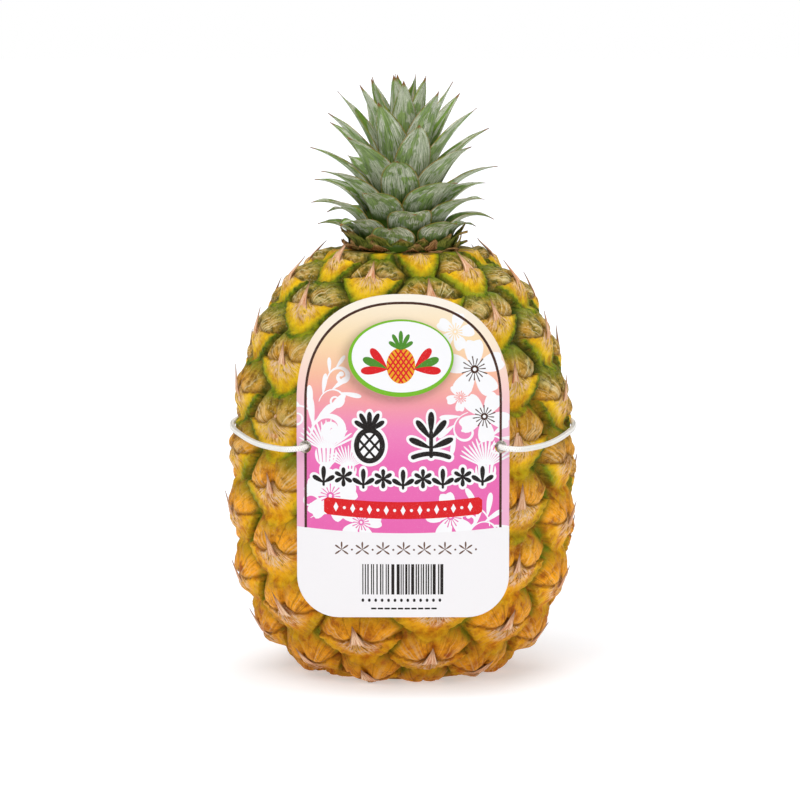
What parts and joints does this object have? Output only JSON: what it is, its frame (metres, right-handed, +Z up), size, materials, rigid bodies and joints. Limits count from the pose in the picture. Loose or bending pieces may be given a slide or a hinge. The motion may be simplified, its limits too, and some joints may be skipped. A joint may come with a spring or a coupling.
{
  "type": "pineapple",
  "caption": "Whole ripe pineapple with its leafy crown and cut stem, standing upright, with an arched card tag held on its front by a white elastic cord.",
  "frame": {"origin": "middle of the flat face that the fruit stands on", "axes": "+Z up along the fruit's axis to the crown, -Y towards the front, where the tag hangs, +X to the right as seen from the front"},
  "size_m": [0.1295, 0.1337, 0.2214],
  "materials": {
    "rind": "bumpy satin rind, green at the shoulder to orange at the foot, dry tan bracts",
    "stalk": "dry fibrous plant stem",
    "leaf": "waxy grey-green leaf with a pale bloom and ochre serrated edges",
    "card": "smooth coated card printed in cream, pink and white",
    "elastic": "white braided elastic cord"
  },
  "bodies": {
    "root": {"fruit": "rind", "cut_stem": "stalk", "crown_stem": "stalk", "crown_leaf_00": "leaf", "crown_leaf_01": "leaf", "crown_leaf_02": "leaf", "crown_leaf_03": "leaf", "crown_leaf_04": "leaf", "crown_leaf_05": "leaf", "crown_leaf_06": "leaf", "crown_leaf_07": "leaf", "crown_leaf_08": "leaf", "crown_leaf_09": "leaf", "crown_leaf_10": "leaf", "crown_leaf_11": "leaf", "crown_leaf_12": "leaf", "crown_leaf_13": "leaf", "crown_leaf_14": "leaf", "crown_leaf_15": "leaf", "crown_leaf_16": "leaf", "crown_leaf_17": "leaf", "crown_leaf_18": "leaf", "crown_leaf_19": "leaf", "crown_leaf_20": "leaf", "crown_leaf_21": "leaf", "crown_leaf_22": "leaf", "crown_leaf_23": "leaf", "crown_leaf_24": "leaf", "crown_leaf_25": "leaf", "crown_leaf_26": "leaf", "crown_leaf_27": "leaf", "crown_leaf_28": "leaf", "crown_leaf_29": "leaf", "crown_leaf_30": "leaf", "crown_leaf_31": "leaf", "crown_leaf_32": "leaf", "crown_leaf_33": "leaf", "crown_leaf_34": "leaf", "crown_leaf_35": "leaf", "crown_leaf_36": "leaf", "crown_leaf_37": "leaf", "crown_leaf_38": "leaf", "crown_leaf_39": "leaf", "crown_leaf_40": "leaf", "crown_leaf_41": "leaf", "crown_leaf_42": "leaf", "crown_leaf_43": "leaf", "crown_leaf_44": "leaf", "crown_leaf_45": "leaf", "crown_leaf_46": "leaf", "crown_leaf_47": "leaf", "crown_leaf_48": "leaf", "crown_leaf_49": "leaf", "hang_tag": "card", "elastic_cord": "elastic", "cord_knot_left": "elastic", "cord_knot_right": "elastic"}
  },
  "joints": []
}
